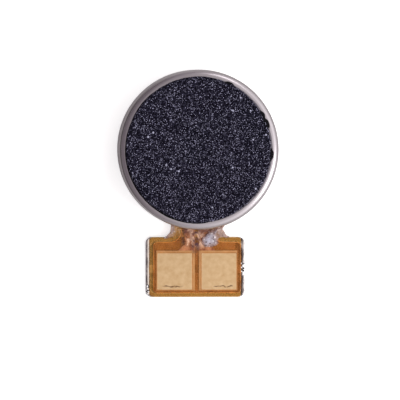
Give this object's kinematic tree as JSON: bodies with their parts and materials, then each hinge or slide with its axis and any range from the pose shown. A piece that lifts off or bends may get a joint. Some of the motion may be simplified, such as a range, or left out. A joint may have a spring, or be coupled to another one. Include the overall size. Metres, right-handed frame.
{
  "type": "vibration coin motor",
  "caption": "Flat round vibration motor with a foam-topped steel can and a flexible circuit tab with gold contact pads.",
  "frame": {"origin": "on the rotor's axis, at the can's flat underside", "axes": "+Z along the rotor's axis towards the foam pad; the contact tab points along -Y; +X is to the right as seen from above with the tab towards the viewer"},
  "size_m": [0.01, 0.0143, 0.0033],
  "materials": {
    "can_steel": "satin drawn stainless steel",
    "ground_steel": "ground and polished steel",
    "washer_nylon": "natural nylon",
    "magnet_nickel": "nickel-plated sintered magnet",
    "bush_bronze": "oil-filled sintered bronze",
    "board_epoxy": "glass-epoxy circuit board",
    "contact_gold": "matte gold plate on nickel and copper",
    "solder_tin": "tin solder",
    "coil_wire": "enamelled copper wire",
    "holder_resin": "moulded black resin",
    "tungsten_alloy": "sintered tungsten alloy",
    "brush_alloy": "precious-metal spring strip",
    "polyimide_film": "amber polyimide base film",
    "polyimide_coverlay": "amber polyimide coverlay, satin",
    "trace_copper": "rolled copper foil",
    "clear_adhesive": "cured adhesive film",
    "stiffener_steel": "bright rolled stainless steel",
    "neck_glue": "clear cured glue",
    "foam_charcoal": "charcoal fine-celled urethane foam",
    "foam_tape": "black double-sided tape"
  },
  "bodies": {
    "case": {"cover": "can_steel", "base_plate": "can_steel", "shaft": "ground_steel", "lower_washer": "washer_nylon", "upper_washer": "washer_nylon", "circuit_adhesive": "clear_adhesive", "circuit_film_inner": "polyimide_film", "circuit_traces_inner": "trace_copper", "circuit_coverlay_inner": "polyimide_coverlay", "circuit_film_neck": "polyimide_film", "circuit_traces_neck": "trace_copper", "circuit_coverlay_neck": "polyimide_coverlay", "neck_glue_left": "neck_glue", "neck_glue_right": "neck_glue", "magnet_adhesive": "clear_adhesive", "ring_magnet": "magnet_nickel", "brush_foot_left": "brush_alloy", "brush_foot_right": "brush_alloy", "brush_solder_left": "solder_tin", "brush_solder_right": "solder_tin", "foam_adhesive": "foam_tape", "foam_pad": "foam_charcoal"},
    "tab": {"circuit_film_tab": "polyimide_film", "circuit_traces_tab": "trace_copper", "circuit_coverlay_tab": "polyimide_coverlay", "contact_pad_left": "contact_gold", "contact_pad_right": "contact_gold", "stiffener_adhesive": "clear_adhesive", "stiffener_plate": "stiffener_steel"},
    "rotor": {"bearing_bush": "bush_bronze", "rotor_board": "board_epoxy", "commutator_segments": "contact_gold", "coil_terminals": "solder_tin", "coil_left": "coil_wire", "coil_right": "coil_wire", "rotor_holder": "holder_resin", "counterweight": "tungsten_alloy"},
    "brush_left": {"brush_arm_left": "brush_alloy"},
    "brush_right": {"brush_arm_right": "brush_alloy"}
  },
  "joints": [
    {"name": "rotor_spin", "type": "hinge", "parent": "case", "child": "rotor", "pos_m": [0, 0, 0], "axis": [0, 0, 1], "continuous": true},
    {"name": "tab_bend", "type": "hinge", "parent": "case", "child": "tab", "pos_m": [0, -0.00526, 0.00029], "axis": [-1, 0, 0], "range_deg": [0, 20], "stiffness_Nm_per_rad": 0.004, "deforming": ["circuit_film_neck", "circuit_traces_neck", "circuit_coverlay_neck", "neck_glue_left", "neck_glue_right"]},
    {"name": "brush_left_flex", "type": "hinge", "parent": "case", "child": "brush_left", "pos_m": [0, -0.0007, 0.0004], "axis": [-1, 0, 0], "range_deg": [0, 6], "stiffness_Nm_per_rad": 0.0005},
    {"name": "brush_right_flex", "type": "hinge", "parent": "case", "child": "brush_right", "pos_m": [0, -0.0007, 0.0004], "axis": [-1, 0, 0], "range_deg": [0, 6], "stiffness_Nm_per_rad": 0.0005}
  ]
}
